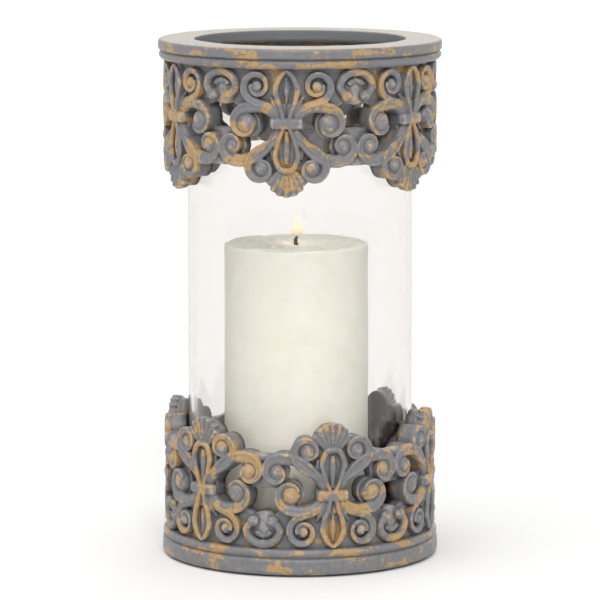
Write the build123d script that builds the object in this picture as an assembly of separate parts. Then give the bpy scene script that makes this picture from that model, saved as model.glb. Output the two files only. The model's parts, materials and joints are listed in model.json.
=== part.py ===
from build123d import *
from math import cos, pi, radians, sin
import os

# Pillar candle holder: a footed tray and a collar, both cast in polystone with a pierced crown of
# scrolls and fleurs, a plain glass chimney between them, and a three inch pillar candle inside.
# Millimetres. The holder's axis is Z, z = 0 is the surface it stands on, and the front is -Y.

# ---- driving sizes -------------------------------------------------------------------------------
overall_height = 272.7       # surface to the collar's top face

candle_diameter = 76.2       # a three inch pillar
candle_height = 153.0        # a six inch pillar
candle_aside = 2.0           # it was set down this far left of the middle
candle_foot_edge = 1.0
candle_edge = 1.2            # raised edge round the melted top
candle_dip = 1.6             # depth of the melted top below its edge
pool_swell = 0.3             # rise of the melted top between its edge and the wick
wick_diameter = 2.2
wick_stands = 4.5            # wick above the candle's edge
wick_bend = 1.6              # sideways bend of the burnt tip
wick_gap = 0.1               # round the wick in its bores
clip_diameter = 19.0         # tin clip that holds the wick's foot
clip_thickness = 0.5
clip_neck_height = 5.0
clip_neck_wall = 0.5

glass_diameter = 118.2
glass_wall = 2.8
glass_play = 1.1             # round the glass in the tray and the collar
glass_foot_height = 7.0      # where the glass stands, above the surface

wall_depth = 6.7             # pierced wall, inside to ground of the relief
relief_depth = 5.2           # ground of the relief to its highest point
tray_height = 14.5           # surface to the foot of the base crown
tray_lip = 0.7               # tray's edge outside the relief
tray_bead = 5.0              # height of the tray's upper bead
tray_floor = 12.0            # where the candle stands, above the surface
tray_plate = 7.0             # thickness of that floor
tray_foot_width = 20.0       # ring that the felt pads are glued to
tray_edge_radius = 2.0
tray_floor_edge = 1.0        # edge of the floor, beside the channel for the glass
bead_inset = 0.4             # bead's face inside the band beside it
ring_height = 10.5           # collar's top face to the foot of its crown
ring_lip = 2.1               # collar's edge outside the relief
ring_bead = 4.8              # height of the collar's lower bead
ring_top_plate = 6.0         # thickness over the glass
ring_mouth_overhang = 1.1    # top plate inside the glass's bore
ring_edge_radius = 2.0
ring_mouth_edge = 0.6
ring_foot_edge = 1.0
groove_depth = 0.9
groove_width = 0.9

pad_count = 4
pad_diameter = 14.0
pad_thickness = 1.0

bedding = 1.0                # how far relief is let into the wall
boss_taper = 12              # slope of a boss's side, degrees

repeats = 6                  # fleurs round each crown
crown_height = 66.3          # foot of a crown to its shells' tips
base_turn = 14.0             # first fleur of the base, degrees from the front
collar_turn = -5.6           # first fleur of the collar, degrees from the front

# ---- places worked out from them -----------------------------------------------------------------
glass_radius = glass_diameter / 2
glass_bore = glass_radius - glass_wall
wall_inside = glass_radius + glass_play
ground = wall_inside + wall_depth
relief = ground + relief_depth
tray_radius = relief + tray_lip
ring_radius = relief + ring_lip
mouth_radius = glass_bore - ring_mouth_overhang
glass_top = overall_height - ring_top_plate
candle_radius = candle_diameter / 2
candle_top = tray_floor + candle_height
wick_radius = wick_diameter / 2
half_wedge = pi / repeats

# The ornament is drawn flat, u along the wall from a fleur's middle and v up from the crown's foot,
# on a unit this wide each side and this high, and laid on the wall at the sizes above.
unit_half_width = 37.7
unit_height = 66.3

tie_middle = (0, 27.8)
tie_length = 17.6
tie_width = 5.6
leaf_set_back = 0.4          # leaf's and tongue's rims below the relief's highest point
hollow_depth = 1.2           # sunk panels inside those rims
clear = 5.0                  # cutters reach this far past what they cut

shell_focus = (0, 47.0)      # where the shell's ribs would meet
shell_near = 6.5
shell_far = 18.6
shell_ribs_each_side = 3
shell_rib_angle = 12
shell_rib_height = 2.6
shell_rib_step = 0.4         # every second rib stands this much higher

horseshoe_middle = (unit_half_width, 10.6)
horseshoe_radius = 7.3
horseshoe_loss = 0.6
horseshoe_start = -70        # degrees
horseshoe_quarters = 1.75
horseshoe_width = 4.0
horseshoe_height = 3.3
horseshoe_ball = (33.5, 15.6)
horseshoe_ball_radius = 2.9
horseshoe_ball_height = 4.3


def turn_of(u):
    """Angle round the axis of a place u along the wall."""
    return u / unit_half_width * half_wedge


def rise_of(v):
    """Height over the crown's foot of a place v up the wall."""
    return v / unit_height * crown_height


def facing(u, radius):
    """Plane that touches a cylinder at u, with its origin at the crown's foot and its Y up."""
    turn = turn_of(u)
    return Plane(origin=(radius * sin(turn), -radius * cos(turn), 0), x_dir=(cos(turn), sin(turn), 0),
                 z_dir=(sin(turn), -cos(turn), 0))


def flat(place, u_mid=0):
    """Where a place (u, v) of the relief lies on the plane that faces u_mid."""
    u, v = place
    return Vector(relief * sin(turn_of(u) - turn_of(u_mid)), rise_of(v))


def outline(runs, u_mid=0):
    """Face with straight runs of two places and curved runs of more, joined end to end."""
    edges = []
    for run in runs:
        points = [flat(place, u_mid) for place in run]
        edges.append(Spline(*points) if len(points) > 2 else Line(*points))
    return make_face(edges)


def prism(face, u_mid, inner, outer):
    """Solid that stands on the plane facing u_mid, between two radii."""
    return extrude(facing(u_mid, inner) * face, outer - inner)


def mirrored(run):
    """The same run on the other side of u = 0."""
    return [(-u, v) for u, v in run]


def leaf(run, inner, outer):
    """Pointed leaf on u = 0, from the run up its right side."""
    return prism(outline([run, mirrored(run)]), 0, inner, outer)


def moulding(path, u_mid, width, height):
    """Band of a scroll along a flat path, standing on the ground."""
    return prism(trace(path, width), u_mid, ground - bedding, ground + height)


def eye_of(place, radius, height):
    """Round boss at the eye of a scroll, with sloping sides."""
    boss = extrude(Circle(radius), bedding + height, taper=boss_taper)
    return facing(place[0], ground - bedding) * Pos(0, rise_of(place[1])) * boss


# ---- the scrolls on one side of a fleur ------------------------------------------------------------
# root, eye, way round (-1 clockwise), angle where the volute starts, its first radius, loss of radius
# in a quarter turn, quarter turns, width and height of the band, eye radius
SCROLLS = {
    "small_lower": ((4.0, 25.5), (15.8, 8.6), -1, 84, 6.4, 0.5, 3.4, 3.0, 2.9, 3.3),
    "large_middle": ((5.0, 25.5), (22.2, 28.2), 1, -92, 8.2, 0.9, 2.2, 4.0, 3.7, 5.8),
    "upper_arm": ((3.0, 31.0), (29.8, 39.8), -1, 92, 7.2, 0.8, 2.4, 4.4, 3.4, 4.2),
    "crown": ((1.5, 35.0), (13.0, 51.4), 1, -50, 7.0, 0.8, 3.2, 3.6, 3.1, 3.4),
}


def volute(start, heading, way, first_radius, loss, quarters):
    """Edges of a volute: quarter arcs that follow on from each other, each tighter than the last."""
    edges = []
    left = quarters
    radius = first_radius
    while left > 0:
        arc = JernArc(start=start, tangent=heading, radius=radius, arc_size=way * 90 * min(left, 1))
        edges.append(arc)
        start, heading = arc @ 1, arc % 1
        radius -= loss
        left -= 1
    return edges


def scroll(sizes, side):
    """Band and eye of one scroll, on the side +1 or -1 of a fleur."""
    root, eye, way, start_angle, first_radius, loss, quarters, width, height, eye_radius = sizes
    u_mid = (root[0] + eye[0]) / 2
    angle = radians(start_angle)
    start = flat(eye, u_mid) + Vector(cos(angle), sin(angle)) * first_radius
    heading = Vector(-sin(angle), cos(angle)) * way
    stem = TangentArc(start, flat(root, u_mid), tangent=-heading)
    path = Wire([stem] + volute(start, heading, way, first_radius, loss, quarters))
    pieces = [moulding(path, u_mid, width, height), eye_of(eye, eye_radius, relief_depth)]
    return pieces if side > 0 else [mirror(piece, about=Plane.YZ) for piece in pieces]


def horseshoe(side):
    """Half of the open ring between two fleurs, with the boss at its end."""
    angle = radians(horseshoe_start)
    spoke = Vector(cos(angle), sin(angle))
    start = flat(horseshoe_middle, unit_half_width) + spoke * horseshoe_radius
    heading = Vector(sin(angle), -cos(angle))
    path = Wire(volute(start, heading, -1, horseshoe_radius, horseshoe_loss, horseshoe_quarters))
    ring = moulding(path, unit_half_width, horseshoe_width, horseshoe_height)
    pieces = [ring, eye_of(horseshoe_ball, horseshoe_ball_radius, horseshoe_ball_height)]
    return pieces if side > 0 else [mirror(piece, about=Plane.YZ) for piece in pieces]


def fleur():
    """Tie, hanging leaf with its sepals, and the tongue above them, on u = 0."""
    below = ground - bedding
    face = relief - leaf_set_back
    panel_floor = face - hollow_depth
    rib_top = face - leaf_set_back
    above = relief + bedding
    tie = prism(Pos(0, rise_of(tie_middle[1])) * SlotOverall(tie_length, tie_width), 0, below, relief)
    hanging = leaf([(0, 0.9), (3.0, 3.6), (6.3, 10.0), (4.6, 17.0), (0, 25.5)], below, face)
    hollow = leaf([(0, 3.8), (2.0, 6.0), (3.9, 10.6), (2.8, 15.6), (0, 19.5)], panel_floor, above)
    rib = leaf([(0, 5.0), (0.7, 8.0), (1.0, 12.0), (0.7, 15.0), (0, 18.0)], below, rib_top)
    side = [(2.2, 30.0), (4.6, 37.0), (6.6, 45.0), (4.8, 50.4), (0, 52.3)]
    tongue = prism(outline([side, mirrored(side), [(-2.2, 30.0), (2.2, 30.0)]]), 0, below, face)
    panel = leaf([(0, 33.0), (2.2, 38.0), (4.6, 45.0), (3.0, 49.2), (0, 50.4)], panel_floor, above)
    spine = leaf([(0, 33.5), (1.2, 38.0), (1.5, 44.0), (0.9, 48.0), (0, 50.0)], below, rib_top)
    root, tip, notch = (1.0, 25.5), (8.8, 14.6), (3.6, 18.0)
    sepal = prism(outline([[root, tip], [tip, notch], [notch, root]]), 0, below, rib_top)
    return [tie, hanging - hollow, rib, tongue - panel, spine, sepal, mirror(sepal, about=Plane.YZ)]


def shell():
    """Fan of tapered ribs that crowns a fleur."""
    ribs = []
    for step in range(-shell_ribs_each_side, shell_ribs_each_side + 1):
        lean = radians(shell_rib_angle * step)
        reach = shell_far - abs(step) / 2
        shoulder = reach - 1.2
        corners = [(shell_near, -0.9), (shoulder, -1.9), (reach, 0), (shoulder, 1.9), (shell_near, 0.9)]
        focus = rise_of(shell_focus[1])
        points = [(along * sin(lean) + across * cos(lean), focus + along * cos(lean) - across * sin(lean))
                  for along, across in corners]
        height = shell_rib_height + shell_rib_step * (step % 2)
        ribs.append(prism(make_face(Polyline(*points, close=True)), 0, ground - bedding, ground + height))
    return ribs


def pierced_wall():
    """Plain wall of one repeat, with its openings cut and its top cut to the crown's outline."""
    wall = extrude(Circle(ground) - Circle(wall_inside), crown_height)
    inner, outer = wall_inside - clear, relief + clear
    end = unit_half_width + 2
    sky = unit_height + 2 * clear
    beside_tie = outline([[(9.6, 23.6), (9.4, 33.4)], [(9.4, 33.4), (15.0, 39.0), (24.6, 43.4)],
                          [(24.6, 43.4), (25.4, 40.0), (24.0, 35.2)],
                          [(24.0, 35.2), (17.6, 33.4), (14.8, 28.2), (15.6, 23.2)],
                          [(15.6, 23.2), (9.6, 23.6)]], 17)
    between_fleurs = outline([[(end, 20.4), (33.0, 20.4)], [(33.0, 20.4), (32.2, 25.6), (30.2, 31.4)],
                              [(30.2, 31.4), (34.4, 31.6), (end, 34.4)], [(end, 34.4), (end, 20.4)]], 35)
    over_crown = outline([[(end, 47.6), (31.0, 48.8), (21.2, 48.4)],
                          [(21.2, 48.4), (20.8, 54.4), (17.6, 58.4), (12.4, 59.8)],
                          [(12.4, 59.8), (8.4, 63.2), (0.0, 65.4)], [(0.0, 65.4), (0.0, sky)],
                          [(0.0, sky), (end, sky)], [(end, sky), (end, 47.6)]], 22)
    for face, u_mid in ((beside_tie, 17), (between_fleurs, 35), (over_crown, 22)):
        cutter = prism(face, u_mid, inner, outer)
        wall = wall - cutter - mirror(cutter, about=Plane.YZ)
    return wall


def wedge():
    """The sixth of the round that one repeat may fill."""
    reach = 2 * relief
    corner = (reach * sin(half_wedge), -reach * cos(half_wedge))
    return extrude(make_face(Polyline((0, 0), corner, (-corner[0], corner[1]), close=True)), crown_height)


def motif():
    """One repeat of a crown: a wedge of pierced wall with its relief."""
    pieces = fleur() + shell()
    for side in (1, -1):
        for sizes in SCROLLS.values():
            pieces += scroll(sizes, side)
        pieces += horseshoe(side)
    solid = pierced_wall() & wedge()
    return (solid + pieces) & wedge()


def tray():
    """Turned tray: floor, channel for the glass, and the two bands of its edge."""
    band_top = tray_height - tray_bead
    foot = pad_thickness
    edge = tray_edge_radius
    hollow_radius = tray_radius - edge - tray_foot_width
    channel = glass_bore - glass_play
    bead_radius = tray_radius - bead_inset
    plate_under = tray_floor - tray_plate
    with BuildSketch(Plane.XZ) as half:
        with BuildLine():
            Polyline((0, tray_floor), (channel - tray_floor_edge, tray_floor),
                     (channel, tray_floor - tray_floor_edge), (channel, glass_foot_height),
                     (wall_inside, glass_foot_height), (wall_inside, tray_height),
                     (tray_radius - edge, tray_height))
            RadiusArc((tray_radius - edge, tray_height), (bead_radius, tray_height - edge), edge)
            Polyline((bead_radius, tray_height - edge), (bead_radius, band_top + groove_width),
                     (tray_radius - groove_depth, band_top + groove_width / 2), (tray_radius, band_top),
                     (tray_radius, foot + edge))
            RadiusArc((tray_radius, foot + edge), (tray_radius - edge, foot), edge)
            Polyline((tray_radius - edge, foot), (hollow_radius, foot), (hollow_radius, plate_under),
                     (0, plate_under), (0, tray_floor))
        make_face()
    return revolve(half.sketch, Axis.Z)


def collar_ring():
    """Turned ring of the collar: top plate with its mouth, socket for the glass, and two bands."""
    top, foot = overall_height, overall_height - ring_height
    band = foot + ring_bead
    edge = ring_edge_radius
    bead_radius = ring_radius - bead_inset
    with BuildSketch(Plane.XZ) as half:
        with BuildLine():
            Polyline((mouth_radius, glass_top), (mouth_radius, top - ring_mouth_edge),
                     (mouth_radius + ring_mouth_edge, top), (ring_radius - edge, top))
            RadiusArc((ring_radius - edge, top), (ring_radius, top - edge), edge)
            Polyline((ring_radius, top - edge), (ring_radius, band + groove_width),
                     (bead_radius - groove_depth, band + groove_width / 2), (bead_radius, band),
                     (bead_radius, foot + ring_foot_edge), (bead_radius - ring_foot_edge, foot),
                     (wall_inside, foot), (wall_inside, glass_top), (mouth_radius, glass_top))
        make_face()
    return revolve(half.sketch, Axis.Z)


def chimney():
    """Plain glass tube that stands in the tray and carries the collar."""
    height = glass_top - glass_foot_height
    return Pos(0, 0, glass_foot_height) * extrude(Circle(glass_radius) - Circle(glass_bore), height)


def wax():
    """Pillar candle with a melted top, a bore for the wick and a recess for the wick's clip."""
    bore = wick_radius + wick_gap
    clip = clip_diameter / 2 + wick_gap
    neck = bore + clip_neck_wall + wick_gap
    recess = tray_floor + clip_thickness + wick_gap
    neck_top = recess + clip_neck_height
    pool = candle_top - candle_dip
    foot, edge = candle_foot_edge, candle_edge
    with BuildSketch(Plane.XZ) as half:
        with BuildLine():
            Polyline((bore, pool - candle_dip), (bore, neck_top), (neck, neck_top), (neck, recess),
                     (clip, recess), (clip, tray_floor), (candle_radius - foot, tray_floor),
                     (candle_radius, tray_floor + foot), (candle_radius, candle_top - edge))
            RadiusArc((candle_radius, candle_top - edge), (candle_radius - edge, candle_top), edge)
            Spline((candle_radius - edge, candle_top), (candle_radius * 0.85, pool),
                   (candle_radius * 0.4, pool + pool_swell), (bore, pool - candle_dip))
        make_face()
    return revolve(half.sketch, Axis.Z)


def wick():
    """Braided wick through the candle, with its burnt tip bent over."""
    foot = tray_floor + clip_thickness
    burn = candle_top - candle_dip
    tip = candle_top + wick_stands
    path = Wire([Line((0, 0, foot), (0, 0, burn)),
                 Spline((0, 0, burn), (wick_bend * 0.6, 0, (burn + tip) / 2), (wick_bend, 0, tip),
                        tangents=((0, 0, 1), (0, 0, 1)))])
    return sweep(Plane.XY.offset(foot) * Circle(wick_radius), path=path)


def wick_clip():
    """Tin disc under the candle with a neck that grips the wick's foot."""
    neck_bore = wick_radius + wick_gap
    plate = Circle(clip_diameter / 2)
    neck = Circle(neck_bore + clip_neck_wall) - Circle(neck_bore)
    stem = extrude(neck, clip_neck_height)
    return Pos(0, 0, tray_floor) * (extrude(plate, clip_thickness) + Pos(0, 0, clip_thickness) * stem)


def felt_pad(turn):
    """Felt disc under the tray's foot ring."""
    reach = tray_radius - tray_edge_radius - tray_foot_width / 2
    return Rot(0, 0, turn) * Pos(0, -reach, 0) * extrude(Circle(pad_diameter / 2), pad_thickness)


def build_parts():
    """Every solid of the holder by its node's name."""
    aside = Pos(-candle_aside, 0, 0)
    parts = {"base_tray": tray(), "collar_ring": collar_ring(), "glass_chimney": chimney(),
             "candle_wax": aside * wax(), "candle_wick": aside * wick(), "wick_clip": aside * wick_clip()}
    for i in range(pad_count):
        parts[f"felt_pad_{i + 1}"] = felt_pad(45 + 360 / pad_count * i)
    ornament = motif()
    hanging = Pos(0, 0, overall_height - ring_height) * Rot(0, 180, 0) * ornament
    standing = Pos(0, 0, tray_height) * ornament
    for i in range(repeats):
        turn = 360 / repeats * i
        parts[f"base_fleur_{i + 1}"] = Rot(0, 0, base_turn + turn) * standing
        parts[f"collar_fleur_{i + 1}"] = Rot(0, 0, collar_turn + turn) * hanging
    return parts


os.makedirs("parts", exist_ok=True)
for name, solid in build_parts().items():
    export_step(solid, f"parts/{name}.step", write_pcurves=False)
    print(f"{name:16s} {len(solid.solids())} solid {solid.volume / 1000:9.2f} cm3")
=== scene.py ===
"""Looks of a pillar candle holder: two pierced polystone crowns, a glass chimney and a lit candle.

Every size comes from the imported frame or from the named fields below. Lengths are metres unless a
name ends in _mm. The holder's axis is Z and its front is -Y.
"""
import json
import logging
import math
from dataclasses import dataclass, field
from enum import Enum
from typing import Iterable, Sequence

import bmesh
import bpy
import numpy as np
from mathutils import Matrix, Vector, noise


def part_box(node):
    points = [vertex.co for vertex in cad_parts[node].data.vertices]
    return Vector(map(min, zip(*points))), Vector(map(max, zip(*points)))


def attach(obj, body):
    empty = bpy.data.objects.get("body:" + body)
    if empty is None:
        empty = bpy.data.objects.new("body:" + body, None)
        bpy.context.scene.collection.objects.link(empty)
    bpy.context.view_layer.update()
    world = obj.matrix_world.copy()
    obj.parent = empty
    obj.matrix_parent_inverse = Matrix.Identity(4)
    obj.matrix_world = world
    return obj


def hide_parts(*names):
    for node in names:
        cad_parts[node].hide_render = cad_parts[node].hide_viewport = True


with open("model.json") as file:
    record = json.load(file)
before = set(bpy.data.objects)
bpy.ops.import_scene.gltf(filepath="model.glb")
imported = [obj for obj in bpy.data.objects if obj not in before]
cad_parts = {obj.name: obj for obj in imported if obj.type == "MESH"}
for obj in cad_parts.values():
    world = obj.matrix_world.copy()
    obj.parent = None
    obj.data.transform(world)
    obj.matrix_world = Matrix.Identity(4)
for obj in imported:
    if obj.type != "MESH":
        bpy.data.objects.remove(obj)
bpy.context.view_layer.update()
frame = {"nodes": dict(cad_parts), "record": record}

log = logging.getLogger("candle_holder")
MM = 0.001
COLOUR_A, COLOUR_B, MIXED = 6, 7, 2  # the Mix node's colour sockets
GLASS_PLAY = 1.1  # millimetres between the glass and the castings round it
CROWN_DEPTH = 11.9  # millimetres from a crown's inner face to its highest relief
Place = tuple[float, float]


# ---------------------------------------------------------------- small tools

def put(mesh: bmesh.types.BMesh, name: str, smooth: bool = True) -> bpy.types.Object:
    """Turn a finished bmesh into an object at the origin.

    Args:
        mesh: The bmesh, which is freed.
        name: Name of the piece.
        smooth: Whether its faces are smooth shaded.

    Returns:
        The linked object.
    """
    data = bpy.data.meshes.new(name)
    for face in mesh.faces:
        face.smooth = smooth
    mesh.to_mesh(data)
    mesh.free()
    piece = bpy.data.objects.new(name, data)
    bpy.context.scene.collection.objects.link(piece)
    return piece


def applied(piece: bpy.types.Object) -> bpy.types.Object:
    """Replace a piece's mesh by its mesh with all modifiers applied.

    Args:
        piece: The object whose modifiers are used up.

    Returns:
        The same object, with no modifiers left.
    """
    graph = bpy.context.evaluated_depsgraph_get()
    done = bpy.data.meshes.new_from_object(piece.evaluated_get(graph), depsgraph=graph)
    piece.modifiers.clear()
    old, piece.data = piece.data, done
    bpy.data.meshes.remove(old)
    return piece


def arc(centre: Place, radius: float, start: float, end: float, steps: int = 6) -> list[Place]:
    """Points of a circular arc in a lathe profile.

    Args:
        centre: Radius and height of the arc's centre.
        radius: The arc's own radius.
        start: First angle in degrees, 0 pointing away from the axis.
        end: Last angle in degrees.
        steps: Number of chords.

    Returns:
        The points, both ends included.
    """
    angles = [math.radians(start + (end - start) * i / steps) for i in range(steps + 1)]
    return [(centre[0] + radius * math.cos(a), centre[1] + radius * math.sin(a)) for a in angles]


def line(start: Place, end: Place, steps: int) -> list[Place]:
    """Evenly spaced points of a straight run in a lathe profile.

    Args:
        start: First point.
        end: Last point, left out of the result.
        steps: Number of chords.

    Returns:
        The points, without the last.
    """
    return [(start[0] + (end[0] - start[0]) * i / steps, start[1] + (end[1] - start[1]) * i / steps)
            for i in range(steps)]


def turned(profile: Sequence[Place], name: str, steps: int, closed: bool) -> bpy.types.Object:
    """Turn a profile round the Z axis.

    Args:
        profile: Points (radius, height) in millimetres.
        name: Name of the piece.
        steps: Segments round the axis.
        closed: Whether the profile's last point joins its first, as in a ring.

    Returns:
        The turned piece, with closed poles and faces outward.
    """
    mesh = bmesh.new()
    points = [mesh.verts.new((radius * MM, 0.0, height * MM)) for radius, height in profile]
    edges = [mesh.edges.new(pair) for pair in zip(points, points[1:])]
    if closed:
        edges.append(mesh.edges.new((points[-1], points[0])))
    bmesh.ops.spin(mesh, geom=points + edges, cent=(0, 0, 0), axis=(0, 0, 1), angle=math.tau,
                   steps=steps, use_merge=True, use_duplicate=False)
    bmesh.ops.remove_doubles(mesh, verts=mesh.verts, dist=1e-6)
    bmesh.ops.recalc_face_normals(mesh, faces=mesh.faces)
    return put(mesh, name)


def wobble(piece: bpy.types.Object, amount: float, grain: float, seed: float) -> None:
    """Push a mesh's vertices about by smooth noise, as a hand-finished casting is uneven.

    Args:
        piece: The object whose mesh is changed.
        amount: Largest push in metres.
        grain: Size of the unevenness in metres.
        seed: Offset that makes each piece different.
    """
    shift = Vector((seed, -seed, 0.7 * seed))
    for vertex in piece.data.vertices:
        vertex.co += noise.noise_vector(vertex.co / grain + shift) * amount


# ---------------------------------------------------------------- the flat ornament

@dataclass(frozen=True)
class Station:
    """One ring of a swept band: place along and up the wall, distance from the axis, half sizes."""

    u: float
    v: float
    out: float
    half_width: float
    half_depth: float


@dataclass(frozen=True)
class Volute:
    """A scroll: a stem that leaves the tie and winds round an eye. Millimetres and degrees."""

    name: str
    root: Place
    root_heading: float
    eye: Place
    way: int
    start: float
    turn: float
    reach: Place
    stem_width: Place
    coil_width: Place
    eye_radius: float
    stiff: Place = (0.45, 0.45)
    backing: float = 0.9


VOLUTES = (
    Volute("small lower scroll", (2.6, 26.0), -62, (16.0, 9.0), -1, 82, 460, (8.0, 3.0),
           (1.5, 2.2), (2.3, 1.0), 2.7, (0.5, 0.4)),
    Volute("large middle scroll", (4.6, 26.4), -48, (22.4, 28.4), 1, -92, 250, (8.2, 4.4),
           (1.8, 3.0), (3.0, 0.7), 5.7),
    Volute("upper arm", (2.2, 29.6), 52, (29.9, 39.9), -1, 95, 320, (7.2, 3.2),
           (2.5, 3.5), (3.3, 0.6), 4.3, (0.42, 0.42)),
    Volute("crown scroll", (1.8, 31.0), 62, (13.6, 50.8), 1, -56, 350, (7.8, 3.3),
           (1.5, 2.9), (2.9, 0.7), 4.1, (0.4, 0.4)),
)


@dataclass
class Ornament:
    """One repeat of a crown, drawn flat in millimetres: u along the wall, v up it, out from the axis.

    Only the half with u above zero is drawn. It is mirrored, and then bent round the axis.
    """

    inside: float
    relief: float
    height: float
    half_wedge: float
    wall_depth: float = 6.7
    unit_half_width: float = 37.7
    unit_height: float = 66.3
    overlap: float = 0.35
    voxel: float = 0.36
    target_faces: int = 62000
    mesh: bmesh.types.BMesh = field(default_factory=bmesh.new)

    @property
    def ground(self) -> float:
        """Distance from the axis to the ground that the relief stands on."""
        return self.inside + self.wall_depth

    def sweep(self, stations: Sequence[Station], segments: int = 14) -> None:
        """Extrude a ring along stations, each with its own size, and close both ends.

        Args:
            stations: The rings in order.
            segments: Sides of the ring; 4 gives a square section.
        """
        mesh = self.mesh
        places = [Vector((s.u, -s.out, s.v)) for s in stations]
        square = Matrix.Rotation(math.pi / segments, 4, "Z") @ Matrix.Scale(
            math.sqrt(2) if segments == 4 else 1.0, 4)
        frames = []
        for i, station in enumerate(stations):
            along = (places[min(i + 1, len(places) - 1)] - places[max(i - 1, 0)]).normalized()
            side = along.cross(Vector((0, -1, 0))).normalized()
            up = side.cross(along).normalized()
            turn = Matrix((side, up, along)).transposed().to_4x4()
            size = Matrix.Diagonal((station.half_width, station.half_depth, 1.0, 1.0))
            frames.append(Matrix.Translation(places[i]) @ turn @ size @ square)
        ring = bmesh.ops.create_circle(mesh, cap_ends=False, radius=1.0, segments=segments)["verts"]
        edges = list({edge for vertex in ring for edge in vertex.link_edges})
        bmesh.ops.transform(mesh, matrix=frames[0], verts=ring)
        bmesh.ops.contextual_create(mesh, geom=edges)
        for before, after in zip(frames, frames[1:]):
            grown = bmesh.ops.extrude_edge_only(mesh, edges=edges)["geom"]
            ring = [item for item in grown if isinstance(item, bmesh.types.BMVert)]
            edges = [item for item in grown if isinstance(item, bmesh.types.BMEdge)]
            bmesh.ops.transform(mesh, matrix=after @ before.inverted(), verts=ring)
        bmesh.ops.contextual_create(mesh, geom=edges)

    def blob(self, place: Place, out: float, radii: tuple[float, float, float]) -> None:
        """Add a ball or an egg.

        Args:
            place: Its middle (u, v).
            out: Distance of its middle from the axis.
            radii: Half sizes along u, outward and along v.
        """
        ball = bmesh.ops.create_uvsphere(self.mesh, u_segments=28, v_segments=18, radius=1.0)["verts"]
        size = Matrix.Diagonal((radii[0], radii[1], radii[2], 1.0))
        middle = Matrix.Translation((place[0], -out, place[1]))
        bmesh.ops.transform(self.mesh, matrix=middle @ size, verts=ball)

    def block(self, low: tuple[float, float, float], high: tuple[float, float, float],
              edge: float = 0.0) -> None:
        """Add a box between two corners (u, out, v), with rounded edges.

        Args:
            low: Least u, out and v.
            high: Greatest u, out and v.
            edge: Radius of the rounding.
        """
        cube = bmesh.ops.create_cube(self.mesh, size=1.0)["verts"]
        size = [b - a for a, b in zip(low, high)]
        middle = [(a + b) / 2 for a, b in zip(low, high)]
        place = Matrix.Translation((middle[0], -middle[1], middle[2]))
        bmesh.ops.transform(self.mesh, matrix=place @ Matrix.Diagonal((*size, 1.0)), verts=cube)
        if edge > 0:
            edges = list({e for v in cube for e in v.link_edges})
            bmesh.ops.bevel(self.mesh, geom=edges, offset=edge, offset_type="OFFSET", segments=4,
                            profile=0.5, affect="EDGES", material=-1)

    def centreline(self, volute: Volute) -> tuple[list[Place], int]:
        """Work out the middle of a scroll's band.

        Args:
            volute: The scroll.

        Returns:
            Its points from root to eye, and how many of them belong to the stem.
        """
        def on_coil(share: float) -> Place:
            angle = math.radians(volute.start + volute.way * volute.turn * share)
            reach = volute.reach[0] + (volute.reach[1] - volute.reach[0]) * share ** 0.9
            return volute.eye[0] + reach * math.cos(angle), volute.eye[1] + reach * math.sin(angle)

        first, second = on_coil(0.0), on_coil(0.004)
        heading = Vector((second[0] - first[0], second[1] - first[1])).normalized()
        span = math.dist(volute.root, first)
        angle = math.radians(volute.root_heading)
        root = Vector(volute.root)
        control_1 = root + Vector((math.cos(angle), math.sin(angle))) * span * volute.stiff[0]
        control_2 = Vector(first) - heading * span * volute.stiff[1]
        points, stem = [], 22
        for i in range(stem):
            t = i / stem
            places = (root, control_1, control_2, Vector(first))
            weights = ((1 - t) ** 3, 3 * t * (1 - t) ** 2, 3 * t * t * (1 - t), t ** 3)
            points.append(tuple(sum((p * w for p, w in zip(places, weights)), Vector((0, 0)))))
        steps = max(24, int(volute.turn / 8))
        points += [on_coil(i / steps) for i in range(steps + 1)]
        return points, stem

    def scroll(self, volute: Volute) -> None:
        """Build a scroll: band, raised outer rim, backing down to the inner wall, and eye.

        Args:
            volute: The scroll.
        """
        points, stem = self.centreline(volute)
        band, rim, back = [], [], []
        for i, (u, v) in enumerate(points):
            share = i / stem if i < stem else (i - stem) / (len(points) - 1 - stem)
            ends = volute.stem_width if i < stem else volute.coil_width
            half = ends[0] + (ends[1] - ends[0]) * (share if i < stem else share ** 0.8)
            ahead = points[min(i + 1, len(points) - 1)]
            behind = points[max(i - 1, 0)]
            along = Vector((ahead[0] - behind[0], ahead[1] - behind[1])).normalized()
            outward = Vector((along.y, -along.x)) * volute.way
            lift = 0.25 * (self.relief - self.ground) * (share if i < stem else 1.0)
            band.append(Station(u, v, self.ground + 0.9 + lift, half, 2.0 + 0.1 * half))
            shift = outward * half * 0.55
            rim.append(Station(u + shift.x, v + shift.y, self.ground + 2.3 + lift, half * 0.42,
                               min(1.35, 0.35 + half * 0.45)))
            back.append(Station(u, v, (self.inside + self.ground) / 2 + 0.3, half * volute.backing,
                                self.wall_depth / 2 + 0.7))
        self.sweep(band)
        self.sweep(rim, segments=10)
        self.sweep(back, segments=4)
        eye = volute.eye_radius
        self.blob(volute.eye, self.relief - 0.15 - eye * 0.8, (eye, eye * 0.8, eye))
        self.drum(volute.eye, volute.reach[0] * 0.86, self.ground - 0.6)

    def drum(self, place: Place, radius: float, out: float) -> None:
        """Add a round slug of wall from the inner face outward.

        Args:
            place: Its middle (u, v).
            radius: Its radius.
            out: Distance of its face from the axis.
        """
        depth = out - self.inside + 1.0
        slug = bmesh.ops.create_cone(self.mesh, cap_ends=True, segments=40, radius1=radius,
                                     radius2=radius, depth=depth)["verts"]
        stand = Matrix.Translation((place[0], -(out - depth / 2), place[1]))
        bmesh.ops.transform(self.mesh, matrix=stand @ Matrix.Rotation(math.pi / 2, 4, "X"), verts=slug)

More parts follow.
